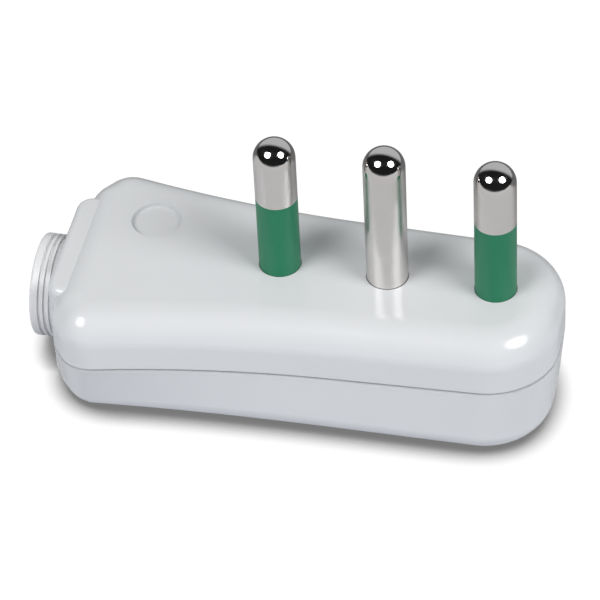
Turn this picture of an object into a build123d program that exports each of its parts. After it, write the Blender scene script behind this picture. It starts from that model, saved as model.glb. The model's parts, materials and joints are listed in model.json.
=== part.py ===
from build123d import *
import math
import os

# Flat in-line three-pin plug for a rewirable cord. Millimetres.
# While it is modelled, the face that the pins stand on is z = 0, the pins point to +Z, the row of pins
# runs along X and the cable inlet is at -X. At the end the plug is laid on its slightly sloping back.

# Pins
pin_diameter = 5.0
pin_pitch = 13.0
live_pin_reach = 19.0
earth_pin_reach = 19.5
pin_root_diameter = 4.5
pin_collar_diameter = 6.4
pin_collar_height = 1.2
pin_shank_diameter = 3.6
pin_nose_flat = 0.01
pin_shank_length = 2.2
sleeve_reach = 10.6
sleeve_wall = 0.5

# Housing seen from the pins
pin_end_reach = 20.9
cable_end_reach = 39.0
pin_end_half_width = 10.25
waist_from_earth_pin = 5.0
waist_half_width = 11.05
shoulder_half_width = 14.95
shoulder_length = 3.4
cable_end_half_width = 10.5
pin_end_corner = 8.6
shoulder_corner = 4.2

# The same outline at the level of the back is drawn in, most of all at the shoulders
back_pin_end_draw_in = 0.9
back_side_draw_in = 0.2
back_shoulder_draw_in = 3.05
back_cable_end_draw_in = 1.5

# Housing seen from the side
thickness_at_earth_pin = 17.4
back_slope = 2.33
seam_depth = 7.7
face_edge_radius = 4.0
back_edge_radius = 3.0
wall = 2.2
inner_edge_radius = 1.8

# Seam between the two shells
shadow_gap_height = 0.4
shadow_gap_depth = 0.45
seam_lip_radius = 0.5
tongue_thickness = 0.9
tongue_height = 1.4
tongue_clearance = 0.12

# Pad round the cable inlet and the ribbed bush
inlet_pad_half_width = 8.7
inlet_pad_proud = 0.9
inlet_pad_from_face = 0.7
inlet_pad_corner = 2.0
inlet_pad_edge_radius = 0.9
bush_diameter = 12.5
bush_axis_depth = 8.1
bush_stands_out = 3.1
bush_bore = 8.0
bush_bore_chamfer = 0.7
bush_flange_width = 15.0
bush_flange_height = 10.4
bush_flange_thickness = 2.0
bush_plain_end = 1.0
bush_groove_width = 0.4
bush_groove_depth = 0.25
bush_groove_count = 3
bush_end_radius = 0.3

# Round recess in the face
recess_from_cable_end = 9.7
recess_off_row = 4.9
recess_diameter = 6.2
recess_depth = 0.6

# Terminals
block_length = 6.6
block_width = 8.0
block_height = 7.4
block_edge = 0.4
wire_hole_diameter = 2.6
wire_hole_below_shank = 0.2
pocket_rib = 1.2
pocket_depth = 3.4
terminal_thread = 3.0
terminal_screw_length = 3.6
terminal_head_diameter = 5.0
terminal_head_height = 1.8
terminal_head_gap = 0.5
hold_down_rib = 1.0

# Screws that close the housing
cover_thread = 3.0
cover_screw_length = 7.6
cover_head_diameter = 5.4
cover_head_height = 2.0
cover_head_below_back = 0.5
tower_diameter = 6.0
tower_end_depth = 11.2
insert_diameter = 4.4
insert_length = 5.0
thread_run_out = 1.5
post_wall = 0.8
cable_end_tower_from_earth_pin = 21.0

# Cord clamp
clamp_screw_off_row = 6.8
clamp_boss_diameter = 5.0
clamp_boss_end_depth = 10.4
clamp_bar_width = 6.0
clamp_bar_thickness = 1.8
clamp_bar_tooth = 0.7
clamp_thread = 3.0
clamp_screw_length = 8.0
clamp_head_diameter = 4.8
clamp_head_height = 1.5
cradle_rib = 1.0
cradle_spacing = 3.0
cradle_depth = 4.2
cradle_half_width = 4.2

# Clearances and small sizes that several pieces share
pin_clearance = 0.06
fit_clearance = 0.12
press_clearance = 0.02
thread_clearance = 0.05
seat_gap = 0.1
slot_width = 0.8
slot_depth = 0.9
head_edge_radius = 0.5
sleeve_root = 1.8
root_overlap = 0.5

PINS = {"line": -pin_pitch, "earth": 0.0, "neutral": pin_pitch}
COVER_SCREWS = {"pin_end": pin_pitch / 2, "cable_end": -cable_end_tower_from_earth_pin}
seam_z = -seam_depth
bush_z = -bush_axis_depth
recess_x = recess_from_cable_end - cable_end_reach
bush_inner_x = wall + bush_flange_thickness - cable_end_reach
tower_side_x = -cable_end_tower_from_earth_pin - tower_diameter / 2
clamp_x = (bush_inner_x + tower_side_x) / 2
block_top = -wall - pin_collar_height
block_bottom = block_top - block_height
wire_hole_z = block_top - pin_shank_length - wire_hole_below_shank - wire_hole_diameter / 2
deepest = thickness_at_earth_pin + pin_end_reach * math.tan(math.radians(back_slope))

SLOPE = math.radians(back_slope)
BACK = Plane(
    origin=(0, 0, -thickness_at_earth_pin),
    x_dir=(math.cos(SLOPE), 0, -math.sin(SLOPE)),
    z_dir=(math.sin(SLOPE), 0, math.cos(SLOPE)),
)
FLOOR = BACK.offset(wall)


def back_depth(x):
    """Depth of the sloping back below the face at a place along the row."""
    return thickness_at_earth_pin + x * math.tan(SLOPE)


def rod(diameter, low, high, x=0.0, y=0.0):
    """Upright round bar between two levels."""
    return Pos(x, y, low) * Cylinder(diameter / 2, high - low, align=(Align.CENTER, Align.CENTER, Align.MIN))


def bar(length, width, low, high, x=0.0, y=0.0):
    """Upright square bar between two levels."""
    return Pos(x, y, low) * Box(length, width, high - low, align=(Align.CENTER, Align.CENTER, Align.MIN))


def outline(pin_reach, pin_half, waist_half, shoulder_half, end_half):
    """Plan of the housing: straight sides at the pins, which flare in an arc to sloping shoulders."""
    shoulder_x = shoulder_length - cable_end_reach
    with BuildSketch() as plan:
        with BuildLine():
            Line((pin_reach, -pin_half), (pin_reach, pin_half))
            Line((-cable_end_reach, -end_half), (-cable_end_reach, end_half))
            for side in (-1, 1):
                waist = (-waist_from_earth_pin, side * waist_half)
                straight = Line((pin_reach, side * pin_half), waist)
                flare = TangentArc(waist, (shoulder_x, side * shoulder_half), tangent=straight % 1)
                Line(flare @ 1, (-cable_end_reach, side * end_half))
        make_face()
        fillet(plan.vertices().sort_by(Axis.X)[:4], shoulder_corner)
        fillet(plan.vertices().sort_by(Axis.X)[-2:], pin_end_corner)
    return plan.sketch


SEAM_PLAN = outline(
    pin_end_reach, pin_end_half_width, waist_half_width, shoulder_half_width, cable_end_half_width
)
BACK_PLAN = outline(
    pin_end_reach - back_pin_end_draw_in,
    pin_end_half_width - back_side_draw_in,
    waist_half_width,
    shoulder_half_width - back_shoulder_draw_in,
    cable_end_half_width - back_cable_end_draw_in,
)


def inset(plan, amount):
    """The same plan drawn in by an even amount."""
    return offset(plan, amount=-amount)


def ring(outer_inset, inner_inset, low, high):
    """Upright band that follows the outline of the housing."""
    band = inset(SEAM_PLAN, outer_inset) if outer_inset > 0 else SEAM_PLAN
    return extrude(Pos(0, 0, low) * (band - inset(SEAM_PLAN, inner_inset)), high - low)


def lower_body(wall_inset, under):
    """Lofted lower half, cut off by the sloping plane under it."""
    top = inset(SEAM_PLAN, wall_inset) if wall_inset > 0 else SEAM_PLAN
    bottom = inset(BACK_PLAN, wall_inset) if wall_inset > 0 else BACK_PLAN
    body = loft([(Pos(0, 0, -deepest) * bottom).face(), (Pos(0, 0, seam_z) * top).face()])
    return split(body, bisect_by=under, keep=Keep.TOP)


def edges_on(body, plane):
    """Edges that lie in a plane."""
    return [e for e in body.edges() if abs(plane.to_local_coords(e @ 0.5).Z) < 0.01]


def inlet_pad(low, high):
    """Raised pad on the cable end, which the bush stands out of."""
    length = inlet_pad_proud + wall
    pad = bar(length, 2 * inlet_pad_half_width, low, high, x=-cable_end_reach - inlet_pad_proud + length / 2)
    end = pad.faces().sort_by(Axis.X)[0]
    return fillet(end.edges().filter_by(Axis.Z), inlet_pad_corner)


def outer_rim(pad, which):
    """Edges of the pad's lowest (0) or highest (-1) face that stay outside the housing."""
    return pad.faces().sort_by(Axis.Z)[which].edges().sort_by(Axis.X)[:-1]


def inlet_hole():
    """Room for the bush: its neck through the end wall and its flange behind it."""
    neck = Rot(0, 90, 0) * rod(bush_diameter + 2 * fit_clearance, -wall - inlet_pad_proud, 0)
    flange = Pos(bush_flange_thickness / 2, 0, 0) * bush_flange(fit_clearance)
    return Pos(wall - cable_end_reach, 0, bush_z) * (neck + flange)


def bush_flange(extra):
    """Round flange with two flats, with its middle at the origin, grown by a clearance."""
    disc = Rot(0, 90, 0) * Cylinder(bush_flange_width / 2 + extra, bush_flange_thickness + extra)
    return disc & Box(2 * bush_flange_width, 2 * bush_flange_width, bush_flange_height + 2 * extra)


def face_shell():
    """Upper half: ceiling with pin holes, pockets for the terminals, towers, clamp bosses and tongue."""
    shell = extrude(Pos(0, 0, seam_z) * SEAM_PLAN, seam_depth)
    shell = fillet(shell.edges().group_by(Axis.Z)[-1], face_edge_radius)
    pad = inlet_pad(seam_z, -inlet_pad_from_face)
    shell += fillet(outer_rim(pad, -1), inlet_pad_edge_radius)
    cavity = extrude(Pos(0, 0, seam_z) * inset(SEAM_PLAN, wall), seam_depth - wall)
    shell -= fillet(cavity.edges().group_by(Axis.Z)[-1], inner_edge_radius)
    shell -= ring(0, shadow_gap_depth, seam_z, seam_z + shadow_gap_height) & bar(
        4 * cable_end_reach, 4 * shoulder_half_width, seam_z, seam_z + shadow_gap_height
    )
    shell += ring(wall - tongue_thickness, wall, seam_z - tongue_height, seam_z)
    ceiling = -wall + root_overlap
    pocket_end = block_top - pocket_depth
    room_length = block_length + 2 * fit_clearance
    room_width = block_width + 2 * fit_clearance
    for x in PINS.values():
        shell += bar(room_length + 2 * pocket_rib, room_width + 2 * pocket_rib, pocket_end, ceiling, x=x)
    for x in COVER_SCREWS.values():
        shell += rod(tower_diameter, -tower_end_depth, ceiling, x=x)
    for y in (-clamp_screw_off_row, clamp_screw_off_row):
        shell += rod(clamp_boss_diameter, -clamp_boss_end_depth, ceiling, x=clamp_x, y=y)
    for side in (-0.5, 0.5):
        x = clamp_x + side * cradle_spacing
        shell += bar(cradle_rib, 2 * cradle_half_width, -cradle_depth, ceiling, x=x)
    for x in PINS.values():
        shell -= bar(room_length, room_width, pocket_end, -wall, x=x)
        shell -= rod(pin_collar_diameter + 2 * fit_clearance, block_top, -wall, x=x)
        shell -= rod(pin_diameter + 2 * pin_clearance, -2 * wall, wall, x=x)
    for x in COVER_SCREWS.values():
        insert_top = -tower_end_depth + insert_length
        shell -= rod(insert_diameter, -tower_end_depth, insert_top, x=x)
        shell -= rod(cover_thread + 2 * fit_clearance, insert_top, insert_top + thread_run_out, x=x)
    for y in (-clamp_screw_off_row, clamp_screw_off_row):
        hole_top = -clamp_boss_end_depth + clamp_screw_length - clamp_bar_thickness
        shell -= rod(clamp_thread, -clamp_boss_end_depth, hole_top, x=clamp_x, y=y)
    shell -= rod(recess_diameter, -recess_depth, wall, x=recess_x, y=recess_off_row)
    return shell - inlet_hole()


def back_cover():
    """Lower half: sloping floor, screw posts and the ribs that hold the terminals down."""
    cover = fillet(edges_on(lower_body(0, BACK), BACK), back_edge_radius)
    lip = extrude(Pos(0, 0, -2 * deepest) * SEAM_PLAN, 2 * deepest + seam_z)
    cover &= fillet(lip.edges().group_by(Axis.Z)[-1], seam_lip_radius)
    pad = split(inlet_pad(-deepest, seam_z), bisect_by=BACK.offset(inlet_pad_from_face), keep=Keep.TOP)
    pad = fillet(outer_rim(pad, -1), seam_lip_radius)
    cover += fillet(outer_rim(pad, 0), inlet_pad_edge_radius)
    cover -= fillet(edges_on(lower_body(wall, FLOOR), FLOOR), inner_edge_radius)
    rebate = tongue_thickness + tongue_clearance
    cover -= ring(wall - rebate, wall + root_overlap, seam_z - tongue_height - tongue_clearance, seam_z)
    under_floor = -deepest
    inside = lower_body(wall - root_overlap, BACK.offset(wall - root_overlap))
    rib_y = terminal_head_diameter / 2 + hold_down_rib
    rib_length = 2 * pin_pitch + block_length
    for y in (-rib_y, rib_y):
        cover += bar(rib_length, hold_down_rib, under_floor, block_bottom - seat_gap, y=y) & inside
    for x in COVER_SCREWS.values():
        post = rod(cover_head_diameter + 2 * fit_clearance + 2 * post_wall, under_floor, -tower_end_depth, x=x)
        cover += post & inside
    for x in COVER_SCREWS.values():
        cover -= rod(cover_head_diameter + 2 * fit_clearance, -2 * deepest, head_seat(x), x=x)
        cover -= rod(cover_thread + 2 * fit_clearance, -2 * deepest, 0, x=x)
    return cover - inlet_hole()


def head_seat(x):
    """Level of the shelf that a cover screw's head bears on."""
    return -back_depth(x) + cover_head_below_back + cover_head_height


def cable_bush():
    """Ribbed round bush: bore, neck with grooves outside and a flange caught behind the end wall."""
    length = bush_stands_out + inlet_pad_proud + wall
    neck = rod(bush_diameter, -length, 0)
    neck = fillet(neck.edges().group_by(Axis.Z)[0], bush_end_radius)
    step = (bush_stands_out - bush_plain_end) / bush_groove_count
    for index in range(bush_groove_count):
        low = bush_plain_end + index * step - length
        groove = rod(2 * bush_diameter, low, low + bush_groove_width)
        neck -= groove - rod(bush_diameter - 2 * bush_groove_depth, low, low + bush_groove_width)
    neck -= rod(bush_bore, -length, 0)
    mouth = neck.edges().filter_by(GeomType.CIRCLE).group_by(Axis.Z)[0].sort_by(SortBy.RADIUS)[0]
    neck = chamfer(mouth, bush_bore_chamfer)
    flange = Pos(bush_flange_thickness / 2, 0, 0) * bush_flange(0)
    flange -= Rot(0, 90, 0) * rod(bush_bore, 0, bush_flange_thickness)
    return Pos(wall - cable_end_reach, 0, bush_z) * (Rot(0, 90, 0) * neck + flange)


def pin(reach, sleeved):
    """Turned pin: round nose, neck under the sleeve if it has one, root in the shell, collar and shank."""
    body = rod(pin_diameter, 0, reach)
    body = fillet(body.edges().group_by(Axis.Z)[-1], pin_diameter / 2 - pin_nose_flat)
    body += rod(pin_root_diameter, -wall, 0)
    if sleeved:
        neck = rod(2 * pin_diameter, -sleeve_root, sleeve_reach)
        body -= neck - rod(pin_diameter - 2 * sleeve_wall, -sleeve_root, sleeve_reach)
    body += rod(pin_collar_diameter, block_top, -wall)
    shank = rod(pin_shank_diameter, block_top - pin_shank_length, block_top)
    return body + shank


def sleeve():
    """Insulating sleeve, flush with the pin and rooted in the face shell."""
    core = pin_diameter - 2 * sleeve_wall + 2 * press_clearance
    tube = rod(pin_diameter, 0, sleeve_reach) + rod(pin_root_diameter, -sleeve_root, 0)
    return tube - rod(core, -sleeve_root, sleeve_reach)


def terminal():
    """Brass block: shank hole from above, conductor hole across and a tapped hole from the back."""
    block = bar(block_length, block_width, block_bottom, block_top)
    block = fillet(block.edges().filter_by(Axis.Z), block_edge)
    block -= rod(pin_shank_diameter + 2 * press_clearance, block_top - pin_shank_length, block_top)
    cross = Rot(90, 0, 0) * Cylinder(wire_hole_diameter / 2, 2 * block_width)
    block -= Pos(0, 0, wire_hole_z) * cross
    return block - rod(terminal_thread, block_bottom, wire_hole_z)


def screw(thread, length, head_diameter, head_height, cross_slot):
    """Pan-head screw, head down, with the underside of its head at z = 0."""
    head = rod(head_diameter, -head_height, 0)
    head = fillet(head.edges().group_by(Axis.Z)[0], head_edge_radius)
    slot = bar(2 * head_diameter, slot_width, -head_height, -head_height + slot_depth)
    if cross_slot:
        slot = bar(head_diameter * 0.62, slot_width, -head_height, -head_height + slot_depth)
        slot += Rot(0, 0, 90) * slot
    shank = rod(thread - 2 * thread_clearance, 0, length)
    shank = chamfer(shank.edges().group_by(Axis.Z)[-1], thread / 8)
    return (head - slot) + shank


def insert():
    """Threaded brass tube pressed into a tower."""
    tube = rod(insert_diameter - 2 * press_clearance, 0, insert_length)
    return tube - rod(cover_thread, 0, insert_length)


def cord_clamp_bar():
    """Bar across the cable, with two teeth that bite the sheath."""
    length = 2 * clamp_screw_off_row + clamp_boss_diameter
    top = -clamp_boss_end_depth
    plate = bar(clamp_bar_width, length, top - clamp_bar_thickness, top)
    plate = fillet(plate.edges().filter_by(Axis.Z), clamp_bar_width / 3)
    for side in (-0.5, 0.5):
        plate += bar(cradle_rib, 2 * cradle_half_width, top - root_overlap, top + clamp_bar_tooth,
                     x=side * cradle_spacing)
    for y in (-clamp_screw_off_row, clamp_screw_off_row):
        plate -= rod(clamp_thread + 2 * fit_clearance, -deepest, 0, y=y)
    return Pos(clamp_x, 0, 0) * plate


def build():
    """Every piece by name, in the frame in which the face of the plug is z = 0."""
    pieces = {
        "face_shell": face_shell(),
        "back_cover": back_cover(),
        "cable_bush": cable_bush(),
        "cord_clamp_bar": cord_clamp_bar(),
    }
    for name, x in PINS.items():
        sleeved = name != "earth"
        reach = live_pin_reach if sleeved else earth_pin_reach
        pieces[name + "_pin"] = Pos(x, 0, 0) * pin(reach, sleeved)
        if sleeved:
            pieces[name + "_pin_sleeve"] = Pos(x, 0, 0) * sleeve()
        pieces[name + "_terminal"] = Pos(x, 0, 0) * terminal()
        pieces[name + "_terminal_screw"] = Pos(x, 0, block_bottom - terminal_head_gap) * screw(
            terminal_thread, terminal_screw_length, terminal_head_diameter, terminal_head_height, False
        )
    for name, x in COVER_SCREWS.items():
        pieces[name + "_cover_screw"] = Pos(x, 0, head_seat(x)) * screw(
            cover_thread, cover_screw_length, cover_head_diameter, cover_head_height, True
        )
        pieces[name + "_insert"] = Pos(x, 0, -tower_end_depth) * insert()
    for name, y in (("front", -clamp_screw_off_row), ("rear", clamp_screw_off_row)):
        under_bar = -clamp_boss_end_depth - clamp_bar_thickness
        pieces[name + "_clamp_screw"] = Pos(clamp_x, y, under_bar) * screw(
            clamp_thread, clamp_screw_length, clamp_head_diameter, clamp_head_height, False
        )
    return pieces


# The plug lies on its back: the back is z = 0 and the earth pin's axis meets it at the origin
LAID_DOWN = Rot(0, -back_slope, 0) * Pos(0, 0, thickness_at_earth_pin)

if __name__ == "__main__":
    os.makedirs("parts", exist_ok=True)
    for node, piece in build().items():
        export_step(LAID_DOWN * piece, "parts/" + node + ".step")
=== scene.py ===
# %% [markdown]
# # Dressing a flat three-pin plug
#
# The plug's solids come from its CAD model and stand where they belong, so this lesson makes no body parts
# move. It sets a camera, a floor, two lamps and a room, and then gives each piece the finish of the real
# one: glossy moulded plastic, nickel-plated turned pins, green insulating sleeves, brass and zinc-plated
# steel. Lengths are in metres and angles in degrees, unless a name says otherwise.

# %% Load the solids
import json
import math

import bpy
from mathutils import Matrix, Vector

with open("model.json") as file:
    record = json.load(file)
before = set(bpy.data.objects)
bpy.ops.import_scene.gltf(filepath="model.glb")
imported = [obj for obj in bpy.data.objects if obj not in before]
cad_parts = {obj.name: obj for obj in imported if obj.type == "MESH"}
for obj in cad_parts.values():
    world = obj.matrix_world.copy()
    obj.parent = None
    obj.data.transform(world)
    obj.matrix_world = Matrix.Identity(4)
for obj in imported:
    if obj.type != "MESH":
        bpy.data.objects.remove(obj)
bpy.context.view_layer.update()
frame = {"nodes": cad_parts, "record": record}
nodes = frame["nodes"]
MM = 0.001

# %% [markdown]
# ## The camera
#
# The photograph was taken with a long lens from the front, a little from the right and above. A long lens
# flattens the picture, so the camera stands far off and its field of view is small. The camera could be
# aimed by trial, but its angles follow from where the tips and bases of the pins lie in the photograph, so
# it is placed by azimuth, elevation, distance and the point that it looks at.

# %% Camera
camera_azimuth = 12.2
camera_elevation = 43.7
camera_distance = 0.450
camera_aim = Vector((-9.76, -7.08, 18.09)) * MM
lens_mm = 230.4
sensor_mm = 36.0
nearest_seen = 0.01


def direction(azimuth, elevation):
    """Unit vector from the object to a viewer or lamp; azimuth 0 is the front, 90 the pin end."""
    a, e = math.radians(azimuth), math.radians(elevation)
    return Vector((math.sin(a) * math.cos(e), -math.cos(a) * math.cos(e), math.sin(e)))


camera_data = bpy.data.cameras.new("camera")
camera_data.lens = lens_mm
camera_data.sensor_width = sensor_mm
camera_data.clip_start = nearest_seen
camera = bpy.data.objects.new("camera", camera_data)
toward_camera = direction(camera_azimuth, camera_elevation)
camera.location = camera_aim + toward_camera * camera_distance
camera.rotation_euler = toward_camera.to_track_quat("Z", "Y").to_euler()
bpy.context.scene.collection.objects.link(camera)
bpy.context.scene.camera = camera
bpy.context.scene.view_settings.view_transform = "Standard"
print("camera at", tuple(round(v, 3) for v in camera.location))

# %% [markdown]
# ## Small helpers for node trees
#
# A material in Blender is a graph of nodes. Writing every link by hand hides what matters, so a few helpers
# add a node with its values, connect it, and carry a value smoothly from one range to another.

# %% Node helpers


def add(tree, kind, values=None, **settings):
    """New node with its settings, and with values or links put on its inputs by name or number."""
    node = tree.nodes.new(kind)
    for key, value in settings.items():
        setattr(node, key, value)
    for key, value in (values or {}).items():
        if isinstance(value, bpy.types.NodeSocket):
            tree.links.new(value, node.inputs[key])
        else:
            node.inputs[key].default_value = value
    return node


def math_node(tree, operation, first, second=0.0, clamp=False):
    """Result of one sum on two numbers or links."""
    return add(tree, "ShaderNodeMath", {0: first, 1: second}, operation=operation, use_clamp=clamp).outputs[0]


def vector_node(tree, operation, values, output="Vector"):
    """Result of one sum on vectors."""
    return add(tree, "ShaderNodeVectorMath", values, operation=operation).outputs[output]


def ranged(tree, value, low, high, to_low, to_high):
    """A value carried smoothly from one range to another."""
    values = {"Value": value, "From Min": low, "From Max": high, "To Min": to_low, "To Max": to_high}
    return add(tree, "ShaderNodeMapRange", values, interpolation_type="SMOOTHSTEP").outputs["Result"]


def mixed(tree, share, first, second):
    """Shader that goes from the first to the second as the share goes from 0 to 1."""
    return add(tree, "ShaderNodeMixShader", {0: share, 1: first.outputs[0], 2: second.outputs[0]})


def new_tree(owner):
    """Empty node tree of a material or a world."""
    owner.use_nodes = True
    owner.node_tree.nodes.clear()
    return owner.node_tree


# %% [markdown]
# ## The floor sheet
#
# The plug lies on its back on plain white paper. A sheet that is far larger than the plug has no edge in
# any view. A single square is enough, a hair's breadth under the plug so that the two never share a plane.

# %% Floor sheet
floor_size = 12.0
floor_drop = 0.02 * MM

half = floor_size / 2
corners = [(-half, -half, 0), (half, -half, 0), (half, half, 0), (-half, half, 0)]
floor_mesh = bpy.data.meshes.new("floor")
floor_mesh.from_pydata(corners, [], [(0, 1, 2, 3)])
floor = bpy.data.objects.new("floor", floor_mesh)
floor.location.z = -floor_drop
bpy.context.scene.collection.objects.link(floor)
print("floor", floor_size, "m wide,", floor_drop, "m under the plug")

# %% [markdown]
# ## How the floor looks
#
# The picture has a white ground that keeps only a soft dark line where the plug lies. Lighting a floor until
# it burns out would burn out the plug too, so the sheet has three faces. Light bounces off a plain diffuse
# one. The polished metal sees a light grey one that turns dark some way in front of the plug and behind it.
# The camera sees pure white that darkens only where the plug shades it from close by, which the Ambient
# Occlusion node measures. From below the sheet is clear, and rays that reach it within a hair's breadth
# pass through, so the plug's back stays lit.

# %% Floor shader
bounce_colour = (0.50, 0.515, 0.57)
mirror_white = 0.66
sheet_reach = 0.12
table_reach = 0.28
table_grey = 0.10
back_reach = 0.008
back_end = 0.045
back_share = 0.30
contact_reach = 0.0045
contact_dark = 0.19
contact_shade = (0.32, 0.84)
ground_white = 1.03
hair = 0.4 * MM

white_sheet = bpy.data.materials.new("white_sheet")
tree = new_tree(white_sheet)
bounce = add(tree, "ShaderNodeBsdfDiffuse", {"Color": (*bounce_colour, 1)})
place = add(tree, "ShaderNodeSeparateXYZ", {0: add(tree, "ShaderNodeTexCoord").outputs["Object"]}).outputs["Y"]
to_front = math_node(tree, "MULTIPLY", place, -1.0)
sheet = ranged(tree, to_front, sheet_reach, table_reach, mirror_white, table_grey)
# Painted shade: the sheet that the metal mirrors is darkened behind the plug, where the plug's shadows fall.
behind = ranged(tree, place, back_reach, back_end, 1.0, back_share)
mirrored = add(tree, "ShaderNodeBsdfDiffuse", {"Color": math_node(tree, "MULTIPLY", sheet, behind)})
closeness = add(tree, "ShaderNodeAmbientOcclusion", {"Distance": contact_reach}).outputs["AO"]
seen_light = ranged(tree, closeness, *contact_shade, contact_dark, ground_white)
seen = add(tree, "ShaderNodeEmission", {"Strength": seen_light})
path = add(tree, "ShaderNodeLightPath").outputs
surface = mixed(tree, path["Is Camera Ray"], mixed(tree, path["Is Glossy Ray"], bounce, mirrored), seen)
below = add(tree, "ShaderNodeNewGeometry").outputs["Backfacing"]
clear = math_node(tree, "MAXIMUM", below, math_node(tree, "LESS_THAN", path["Ray Length"], hair))
one_sided = mixed(tree, clear, surface, add(tree, "ShaderNodeBsdfTransparent"))
add(tree, "ShaderNodeOutputMaterial", {"Surface": one_sided.outputs[0]})
floor_mesh.materials.append(white_sheet)
print("floor shader:", len(tree.nodes), "nodes")

# %% [markdown]
# ## The two lamps
#
# Every polished dome in the photograph shows two round white spots, and each pin throws two soft shadows
# that cross behind it. The spots' places on the domes and the point where the shadows cross give the lamps'
# directions: both stand in front, one to the left and one to the right, about 45 degrees up. Round area
# lamps, a little over half as wide as they are far, make shadows whose edges are as soft as those.

# %% Lamps
lamps = {"left_lamp": (-42.0, 45.5, 4.25), "right_lamp": (66.0, 45.5, 4.9)}
lamp_distance = 0.90
lamp_size = 0.50

for name, (azimuth, elevation, watts) in lamps.items():
    lamp_data = bpy.data.lights.new(name, "AREA")
    lamp_data.shape = "DISK"
    lamp_data.size = lamp_size
    lamp_data.energy = watts
    lamp = bpy.data.objects.new(name, lamp_data)
    toward_lamp = direction(azimuth, elevation)
    lamp.location = toward_lamp * lamp_distance
    lamp.rotation_euler = toward_lamp.to_track_quat("Z", "Y").to_euler()
    bpy.context.scene.collection.objects.link(lamp)
    print(name, "at", tuple(round(v, 2) for v in lamp.location))

# %% [markdown]
# ## The room
#
# The top rim of each dome is pale, so a white wall stands behind the plug, and above and in front the room
# is dark. The soft light that fills the shadows comes from low down all round, and a little more from the
# wall. It is set apart from the room's mirror image: the first decides how deep the shadows are, the second
# what the polished metal shows. A world shader can tell the two apart by the kind of ray that asks.

# %% Room
horizon_light = 0.80
zenith_light = 0.10
low_sky = (0.0, 0.6)
under_light = 0.80
under_edge = (-0.12, -0.02)
wall_toward = direction(180.0, 12.0)
wall_gain = 1.6
wall_glow = (-0.4, 0.8)
mirror_wall = 0.62
mirror_room = 0.015
wall_edge = (0.40, 0.70)
sky_tint = (0.95, 0.98, 1.0)

world = bpy.data.worlds.new("studio")
bpy.context.scene.world = world
tree = new_tree(world)
ray = add(tree, "ShaderNodeTexCoord").outputs["Generated"]
facing = vector_node(tree, "DOT_PRODUCT", {0: ray, 1: wall_toward}, "Value")
height = add(tree, "ShaderNodeSeparateXYZ", {0: ray}).outputs["Z"]
gain = ranged(tree, facing, *wall_glow, 1.0, wall_gain)
over = math_node(tree, "MULTIPLY", ranged(tree, height, *low_sky, horizon_light, zenith_light), gain)
fill = ranged(tree, height, *under_edge, under_light, over)
image = ranged(tree, facing, *wall_edge, mirror_room, mirror_wall)
path = add(tree, "ShaderNodeLightPath").outputs
strength = add(tree, "ShaderNodeMix", {"Factor": path["Is Glossy Ray"], "A": fill, "B": image}).outputs[0]
room = add(tree, "ShaderNodeBackground", {"Color": (*sky_tint, 1), "Strength": strength})
clear_white = add(tree, "ShaderNodeBackground", {"Color": (1, 1, 1, 1)})
lit = mixed(tree, path["Is Camera Ray"], room, clear_white)
add(tree, "ShaderNodeOutputWorld", {"Surface": lit.outputs[0]})
print("world:", world.name, "wall towards", tuple(round(v, 2) for v in wall_toward))

# %% [markdown]
# ## Groups and places for finishes
#
# An effect that several materials share is built once as a node group with named inputs and outputs, and
# each material sets its own values on it. Where a mark on the plug lies at a certain height, the group needs
# the shading point's place along an axis of the plug. The pins lean a little towards the inlet, because
# the back isn't parallel to the face, so these axes lean with them.

# %% Group helpers
pin_lean = 2.33
pin_axis = direction(-90.0, 90.0 - pin_lean)
row_axis = direction(90.0, pin_lean)


def new_group(name, inputs, outputs):
    """Shader node group with named sockets; gives the group, its inputs and its output node."""
    group = bpy.data.node_groups.new(name, "ShaderNodeTree")
    kinds = {float: "NodeSocketFloat", tuple: "NodeSocketColor"}
    for label, value in inputs.items():
        socket = group.interface.new_socket(label, in_out="INPUT", socket_type=kinds[type(value)])
        socket.default_value = value
    for label, kind in outputs.items():
        group.interface.new_socket(label, in_out="OUTPUT", socket_type=kinds[kind])
    return group, group.nodes.new("NodeGroupInput").outputs, group.nodes.new("NodeGroupOutput").inputs


def spot_on(tree):
    """Place of the shading point on the plug."""
    return add(tree, "ShaderNodeTexCoord").outputs["Object"]


def height_along(tree, axis):
    """Place of the shading point along an axis through the origin."""
    return vector_node(tree, "DOT_PRODUCT", {0: spot_on(tree), 1: axis}, "Value")


def noise(tree, where, scale, detail):
    """Soft noise from 0 to 1 at a place, with its scale in lumps per metre."""
    return add(tree, "ShaderNodeTexNoise", {"Vector": where, "Scale": scale, "Detail": detail}).outputs["Fac"]


print("pins lean along", tuple(round(v, 3) for v in pin_axis))

# %% [markdown]
# ## Moulded skin
#
# Injection-moulded plastic is never perfectly even. Its colour drifts by a percent or two over a few
# millimetres, its gloss changes with it, and under a lamp the surface shows a very fine orange peel. One
# group holds these three effects, and each plastic sets their strength and scale.

# %% Moulded skin group
skin, given, made = new_group(
    "moulded_skin",
    {"Colour": (0.8, 0.8, 0.8, 1.0), "Drift": 0.02, "Drift Scale": 120.0, "Gloss": 0.2, "Gloss Drift": 0.05,
     "Peel Scale": 900.0},
    {"Colour": tuple, "Roughness": float, "Height": float},
)
drift_detail = 3.0
peel_detail = 2.0

centred = math_node(skin, "SUBTRACT", noise(skin, spot_on(skin), given["Drift Scale"], drift_detail), 0.5)
factor = math_node(skin, "ADD", math_node(skin, "MULTIPLY", centred, given["Drift"]), 1.0)
tinted = vector_node(skin, "SCALE", {0: given["Colour"], "Scale": factor})
rough = math_node(skin, "ADD", given["Gloss"], math_node(skin, "MULTIPLY", centred, given["Gloss Drift"]))
skin.links.new(tinted, made["Colour"])
skin.links.new(rough, made["Roughness"])
skin.links.new(noise(skin, spot_on(skin), given["Peel Scale"], peel_detail), made["Height"])
print("group:", skin.name)
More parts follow.
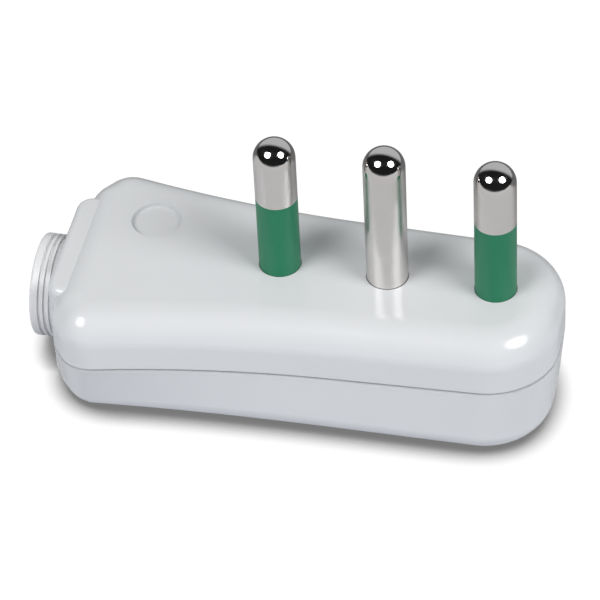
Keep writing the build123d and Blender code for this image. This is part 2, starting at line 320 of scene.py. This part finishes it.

# %% [markdown]
# ## Painted shade in the seam
#
# The two shells leave a gap of less than half a millimetre round the housing. Little light gets in, so the
# shell's colour in the gap is darkened as painted shade, and the gap reads as a grey line. The gap lies
# between two heights above the back, measured along the pins. The group turns these heights into a mask of
# painted shade and lets noise break it up.
# The pad round the cable inlet has no gap, so the mask ends there.

# %% Seam painted shade group
gap_low = 9.65 * MM
gap_high = 10.12 * MM
gap_edge = 0.04 * MM
pad_start = -39.0 * MM
shade_patch_scale = 260.0
shade_patch_detail = 3.0

shade_group, given, made = new_group(
    "seam_painted_shade",
    {"Low": gap_low, "High": gap_high, "Pad Start": pad_start, "Shade": 0.18, "Patchy": 0.14},
    {"Mask": float},
)
height = height_along(shade_group, pin_axis)
over = math_node(shade_group, "DIVIDE", math_node(shade_group, "SUBTRACT", height, given["Low"]), gap_edge, clamp=True)
under = math_node(shade_group, "DIVIDE", math_node(shade_group, "SUBTRACT", given["High"], height), gap_edge, clamp=True)
on_shell = math_node(shade_group, "GREATER_THAN", height_along(shade_group, row_axis), given["Pad Start"])
inside = math_node(shade_group, "MULTIPLY", math_node(shade_group, "MULTIPLY", over, under), on_shell)
patches = math_node(shade_group, "MULTIPLY", noise(shade_group, spot_on(shade_group), shade_patch_scale, shade_patch_detail), given["Patchy"])
thick = math_node(shade_group, "SUBTRACT", given["Shade"], patches)
shade_group.links.new(math_node(shade_group, "MULTIPLY", inside, thick), made["Mask"])
print("group:", shade_group.name)

# %% [markdown]
# ## Turned rings
#
# A pin is turned on a lathe, polished and plated. The tool leaves rings a tenth of a millimetre apart, far
# too fine to model, and handling leaves a faint cloud of tarnish. The nose is polished brighter than the
# straight part, so it mirrors both lamps as round spots. The group gives the tone, the gloss and the rings
# as a height, all measured along the pins.

# %% Turned rings group
nose_low = 33.7 * MM
nose_high = 34.7 * MM
ring_detail = 3.0
cloud_scale = 350.0
cloud_detail = 4.0

rings, given, made = new_group(
    "turned_rings",
    {"Colour": (0.7, 0.7, 0.7, 1.0), "Rings per Metre": 9000.0, "Tarnish": 0.06, "Gloss": 0.2,
     "Nose Gloss": 0.065, "Gloss Drift": 0.05},
    {"Colour": tuple, "Roughness": float, "Height": float},
)
height = height_along(rings, pin_axis)
count = math_node(rings, "MULTIPLY", height, given["Rings per Metre"])
ring_values = {"W": count, "Scale": 1.0, "Detail": ring_detail}
ring_noise = add(rings, "ShaderNodeTexNoise", ring_values, noise_dimensions="1D").outputs["Fac"]
centred = math_node(rings, "SUBTRACT", noise(rings, spot_on(rings), cloud_scale, cloud_detail), 0.5)
tone = math_node(rings, "ADD", math_node(rings, "MULTIPLY", centred, given["Tarnish"]), 1.0)
tinted = vector_node(rings, "SCALE", {0: given["Colour"], "Scale": tone})
on_nose = ranged(rings, height, nose_low, nose_high, 0.0, 1.0)
nose_change = math_node(rings, "SUBTRACT", given["Nose Gloss"], given["Gloss"])
gloss = math_node(rings, "ADD", given["Gloss"], math_node(rings, "MULTIPLY", on_nose, nose_change))
gloss = math_node(rings, "ADD", gloss, math_node(rings, "MULTIPLY", centred, given["Gloss Drift"]))
rings.links.new(tinted, made["Colour"])
rings.links.new(gloss, made["Roughness"])
rings.links.new(ring_noise, made["Height"])
print("group:", rings.name)

# %% [markdown]
# ## A finish from a group
#
# Every finish here is one Principled shader. Its colour, its gloss and a fine bump come from a group, and
# the numbers that are the same all over a surface stay on the shader itself. One function builds the part
# that plastics and metals share.

# %% Finish helper


def finish(name, group, values, depth):
    """Material whose colour, gloss and bump come from a group; gives it with its tree and its shader."""
    material = bpy.data.materials.new(name)
    tree = new_tree(material)
    shader = add(tree, "ShaderNodeBsdfPrincipled")
    add(tree, "ShaderNodeOutputMaterial", {"Surface": shader.outputs["BSDF"]})
    effect = add(tree, "ShaderNodeGroup", values, node_tree=group).outputs
    bump = add(tree, "ShaderNodeBump", {"Height": effect["Height"], "Distance": depth, "Strength": 1.0})
    tree.links.new(effect["Colour"], shader.inputs["Base Color"])
    tree.links.new(effect["Roughness"], shader.inputs["Roughness"])
    tree.links.new(bump.outputs["Normal"], shader.inputs["Normal"])
    return material, tree, shader


print("finishes are built on", skin.name, "and", rings.name)

# %% [markdown]
# ## The plastics
#
# The bush round the cable is a white plastic with a satin skin, and the sleeves are a satin green. The
# clamp bar inside is a matt grey. They differ only in colour, gloss and how fine and deep the peel is, so
# one function makes them all from the moulded skin.

# %% Plastics
plastic_ior = 1.5


def plastic(name, colour, gloss, gloss_drift, drift, peel_scale, peel_depth):
    """Moulded plastic."""
    values = {"Colour": (*colour, 1.0), "Drift": drift, "Gloss": gloss, "Gloss Drift": gloss_drift,
              "Peel Scale": peel_scale}
    material, tree, shader = finish(name, skin, values, peel_depth)
    shader.inputs["IOR"].default_value = plastic_ior
    return material, tree, shader


bush_white = plastic("bush_white", (0.785, 0.785, 0.795), 0.30, 0.08, 0.04, 1200.0, 0.003 * MM)[0]
clamp_grey = plastic("clamp_grey", (0.42, 0.43, 0.44), 0.45, 0.08, 0.06, 1500.0, 0.004 * MM)[0]
sleeve_green = plastic("sleeve_green", (0.004, 0.184, 0.086), 0.38, 0.10, 0.10, 1600.0, 0.004 * MM)[0]
print("plastics:", bush_white.name, clamp_grey.name, sleeve_green.name)

# %% [markdown]
# ## The shells
#
# The two shells are the same glossy white plastic, very slightly cool, and smoother than the bush. Their
# skin is the same function with a higher gloss. The seam's painted shade is laid over the unshaded colour by
# its mask, so that it darkens the colour in the gap and nowhere else.

# %% Shells
# Painted shade: a dark grey laid into the shells' colour in the seam gap, where little light gets in.
shade_grey = (0.10, 0.10, 0.105)
unshaded_side, shaded_side, colour_result = 6, 7, 2  # colour sockets of a Mix node, which share their names

shell_white, tree, shader = plastic("shell_white", (0.70, 0.710, 0.722), 0.16, 0.06, 0.03, 700.0, 0.0015 * MM)
unshaded_colour = shader.inputs["Base Color"].links[0].from_socket
mask = add(tree, "ShaderNodeGroup", node_tree=shade_group).outputs["Mask"]
laid_over = {"Factor": mask, unshaded_side: unshaded_colour, shaded_side: (*shade_grey, 1)}
shaded_colour = add(tree, "ShaderNodeMix", laid_over, data_type="RGBA").outputs[colour_result]
tree.links.new(shaded_colour, shader.inputs["Base Color"])
print("shells:", shell_white.name)

# %% [markdown]
# ## The metals
#
# Nickel plating is a warm grey mirror with a faint haze, brass is yellow and duller, and the zinc on the
# screws is a cool grey. All are turned parts, so they share the turned rings, which draw every reflection
# out along the piece: that is why a pin shows long even stripes. How far they draw it out is one number for
# the whole surface, and it acts across the direction that runs round the pin. That direction could come
# from a UV map, but it's also what is square to both the surface and the pin's axis.

# %% Metals
drawn_out = 0.93


def turned_metal(name, colour, gloss, gloss_drift, tarnish, ring_depth):
    """Turned metal, with reflections drawn out along the pins' axis."""
    values = {"Colour": (*colour, 1.0), "Tarnish": tarnish, "Gloss": gloss, "Gloss Drift": gloss_drift}
    material, tree, shader = finish(name, rings, values, ring_depth)
    normal = add(tree, "ShaderNodeNewGeometry").outputs["Normal"]
    around = vector_node(tree, "CROSS_PRODUCT", {0: normal, 1: pin_axis})
    tree.links.new(around, shader.inputs["Tangent"])
    shader.inputs["Anisotropic"].default_value = drawn_out
    shader.inputs["Metallic"].default_value = 1.0
    return material


pin_nickel = turned_metal("pin_nickel", (0.70, 0.675, 0.66), 0.21, 0.04, 0.08, 0.0006 * MM)
terminal_brass = turned_metal("terminal_brass", (0.66, 0.47, 0.20), 0.26, 0.08, 0.15, 0.001 * MM)
screw_steel = turned_metal("screw_steel", (0.56, 0.57, 0.60), 0.24, 0.08, 0.12, 0.001 * MM)
print("metals:", pin_nickel.name, terminal_brass.name, screw_steel.name)

# %% [markdown]
# ## Giving each piece its finish
#
# The record names a material slot for every piece, so the finishes are handed out by those names. Only the
# material slots change: a solid keeps its mesh and its place.

# %% Assign
finishes = {
    "shell_white": shell_white,
    "bush_white": bush_white,
    "clamp_grey": clamp_grey,
    "sleeve_green": sleeve_green,
    "pin_nickel": pin_nickel,
    "terminal_brass": terminal_brass,
    "screw_steel": screw_steel,
}
for row in frame["record"]["subparts"]:
    piece = nodes[row["node"]]
    piece.data.materials.clear()
    piece.data.materials.append(finishes[row["material_slot"]])
